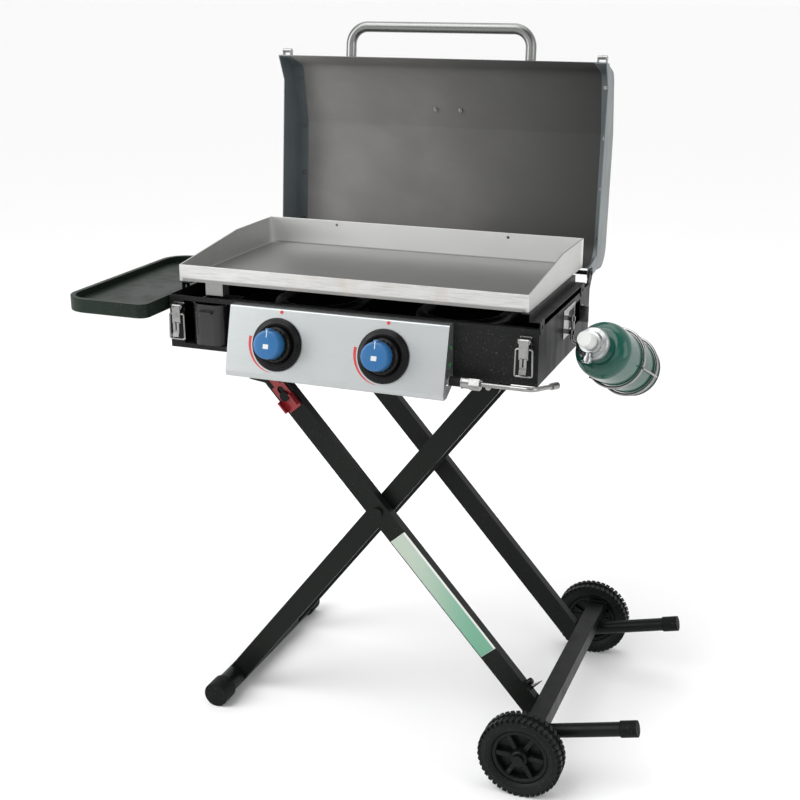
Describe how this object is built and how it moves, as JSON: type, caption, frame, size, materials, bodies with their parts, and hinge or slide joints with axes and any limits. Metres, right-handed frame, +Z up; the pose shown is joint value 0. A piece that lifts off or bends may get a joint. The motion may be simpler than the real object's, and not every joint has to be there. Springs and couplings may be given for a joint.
{
  "type": "folding camp griddle grill",
  "caption": "Two-burner gas griddle with a hinged lid, drop-down side shelf and bottled-gas cradle on a folding cross-legged cart with wheels.",
  "frame": {"origin": "on the floor under the centre of the object's bounding box, with the cart set up and the lid open", "axes": "+Z up; -Y towards the user, where the control panel is; +X to the user's right, where the gas cylinder and wheels are"},
  "size_m": [1.066, 0.6502, 1.2529],
  "materials": {
    "body_paint": "semi-matt black powder coat",
    "lid_inner_paint": "matt black heat-proof paint, charcoal grey inside",
    "lid_end_paint": "satin grey-black paint",
    "leg_paint": "satin black powder coat",
    "griddle_steel": "brushed cold-rolled steel",
    "panel_steel": "fine brushed stainless steel",
    "handle_steel": "satin stainless tube",
    "burner_steel": "dull stainless tube",
    "plated_steel": "bright nickel plate",
    "valve_brass": "plain brass",
    "manifold_aluminium": "plain aluminium tube",
    "regulator_zinc": "die-cast zinc, satin",
    "cap_plastic": "pale grey plastic",
    "bezel_plastic": "satin black plastic",
    "knob_plastic": "glossy blue cap on a black skirt",
    "lock_plastic": "glossy red plastic",
    "cup_paint": "satin black paint",
    "shelf_plastic": "fine-grained black plastic",
    "foot_rubber": "black rubber",
    "hose_rubber": "black rubber",
    "tyre_rubber": "black tread",
    "rim_plastic": "black moulded plastic",
    "gas_paint": "glossy dark green enamel"
  },
  "bodies": {
    "base": {"firebox_shell": "body_paint", "left_burner": "burner_steel", "right_burner": "burner_steel", "gas_manifold": "manifold_aluminium", "gas_valves": "valve_brass", "control_panel": "panel_steel", "knob_bezels": "bezel_plastic", "right_plate_rail": "body_paint", "left_plate_rail": "body_paint", "latch_bases": "plated_steel", "inlet_hose": "hose_rubber", "inlet_nut": "plated_steel", "inlet_tube": "plated_steel", "cradle_bracket": "plated_steel", "cylinder_cradle": "plated_steel", "regulator": "regulator_zinc", "regulator_cap": "cap_plastic", "lid_hinge": "body_paint", "hook_brackets": "leg_paint", "pivot_brackets": "leg_paint", "top_pivot_bolts": "plated_steel", "shelf_brackets": "body_paint"},
    "lid": {"lid_shell": "lid_inner_paint", "right_lid_end": "lid_end_paint", "left_lid_end": "lid_end_paint", "lid_rivets": "plated_steel", "lid_handle": "handle_steel", "lid_keepers": "plated_steel", "lid_badge": "plated_steel"},
    "griddle": {"griddle_plate": "griddle_steel", "grease_chute": "griddle_steel"},
    "cup": {"grease_cup": "cup_paint"},
    "shelf": {"side_shelf": "shelf_plastic"},
    "left_stem": {"left_stem": "valve_brass"},
    "left_knob": {"left_knob": "knob_plastic"},
    "right_stem": {"right_stem": "valve_brass"},
    "right_knob": {"right_knob": "knob_plastic"},
    "left_latch": {"left_latch_lever": "plated_steel"},
    "left_bail": {"left_latch_bail": "plated_steel"},
    "right_latch": {"right_latch_lever": "plated_steel"},
    "right_bail": {"right_latch_bail": "plated_steel"},
    "foot_frame": {"front_foot_leg": "leg_paint", "rear_foot_leg": "leg_paint", "foot_tube": "leg_paint", "foot_caps": "foot_rubber", "crossing_bolts": "leg_paint"},
    "wheel_frame": {"front_wheel_leg": "leg_paint", "rear_wheel_leg": "leg_paint", "hook_pins": "plated_steel", "axle_beam": "leg_paint", "stand_tubes": "leg_paint", "stand_caps": "foot_rubber", "wheel_axles": "leg_paint", "lock_boss": "leg_paint"},
    "lock": {"lock_slider": "lock_plastic"},
    "front_wheel": {"front_wheel_rim": "rim_plastic", "front_tyre": "tyre_rubber"},
    "rear_wheel": {"rear_wheel_rim": "rim_plastic", "rear_tyre": "tyre_rubber"},
    "cylinder": {"gas_cylinder": "gas_paint"}
  },
  "joints": [
    {"name": "lid_hinge", "type": "hinge", "parent": "base", "child": "lid", "pos_m": [-0.01302, 0.17193, 0.812], "axis": [-1, 0, 0], "range_deg": [-95, 0]},
    {"name": "griddle_lift", "type": "slide", "parent": "base", "child": "griddle", "axis": [0, 0, 1], "range_m": [0, 0.05]},
    {"name": "cup_slide", "type": "slide", "parent": "base", "child": "cup", "axis": [0, -1, 0], "range_m": [0, 0.09]},
    {"name": "shelf_fold", "type": "hinge", "parent": "base", "child": "shelf", "pos_m": [-0.36102, -0.08407, 0.764], "axis": [0, 1, 0], "range_deg": [-90, 0]},
    {"name": "cart_fold", "type": "hinge", "parent": "base", "child": "foot_frame", "pos_m": [0.23198, -0.03307, 0.68], "axis": [0, 1, 0], "range_deg": [0, 45]},
    {"name": "leg_crossing", "type": "hinge", "parent": "foot_frame", "child": "wheel_frame", "pos_m": [0.03868, -0.03307, 0.4309], "axis": [0, 1, 0], "range_deg": [-87.1, 0]},
    {"name": "lock_slide", "type": "slide", "parent": "wheel_frame", "child": "lock", "axis": [0.661, 0, -0.7504], "range_m": [0, 0.012], "stiffness_N_per_m": 300, "springref_m": -0.005},
    {"name": "front_wheel_spin", "type": "hinge", "parent": "wheel_frame", "child": "front_wheel", "pos_m": [0.34498, -0.29957, 0.074], "axis": [0, 1, 0], "continuous": true},
    {"name": "rear_wheel_spin", "type": "hinge", "parent": "wheel_frame", "child": "rear_wheel", "pos_m": [0.34498, 0.23343, 0.074], "axis": [0, 1, 0], "continuous": true},
    {"name": "cylinder_pull", "type": "slide", "parent": "base", "child": "cylinder", "axis": [0.1761, 0.8805, -0.4402], "range_m": [0, 0.08]},
    {"name": "left_valve_push", "type": "slide", "parent": "base", "child": "left_stem", "axis": [0, 0.9675, -0.2528], "range_m": [0, 0.003], "stiffness_N_per_m": 400, "springref_m": -0.002},
    {"name": "left_knob_turn", "type": "hinge", "parent": "left_stem", "child": "left_knob", "pos_m": [-0.12402, -0.24448, 0.738], "axis": [0, -0.9675, 0.2528], "range_deg": [0, 180]},
    {"name": "right_valve_push", "type": "slide", "parent": "base", "child": "right_stem", "axis": [0, 0.9675, -0.2528], "range_m": [0, 0.003], "stiffness_N_per_m": 400, "springref_m": -0.002},
    {"name": "right_knob_turn", "type": "hinge", "parent": "right_stem", "child": "right_knob", "pos_m": [0.07198, -0.24448, 0.738], "axis": [0, -0.9675, 0.2528], "range_deg": [0, 180]},
    {"name": "left_latch_turn", "type": "hinge", "parent": "base", "child": "left_latch", "pos_m": [-0.33202, -0.22007, 0.781], "axis": [1, 0, 0], "range_deg": [-120, 0]},
    {"name": "left_bail_swing", "type": "hinge", "parent": "left_latch", "child": "left_bail", "pos_m": [-0.33202, -0.22157, 0.768], "axis": [-1, 0, 0], "range_deg": [0, 170]},
    {"name": "right_latch_turn", "type": "hinge", "parent": "base", "child": "right_latch", "pos_m": [0.30598, -0.22007, 0.781], "axis": [1, 0, 0], "range_deg": [-120, 0]},
    {"name": "right_bail_swing", "type": "hinge", "parent": "right_latch", "child": "right_bail", "pos_m": [0.30598, -0.22157, 0.768], "axis": [-1, 0, 0], "range_deg": [0, 170]}
  ],
  "couplings": [
    {"joint": "leg_crossing", "follows": "cart_fold", "ratio": -1.9318}
  ]
}
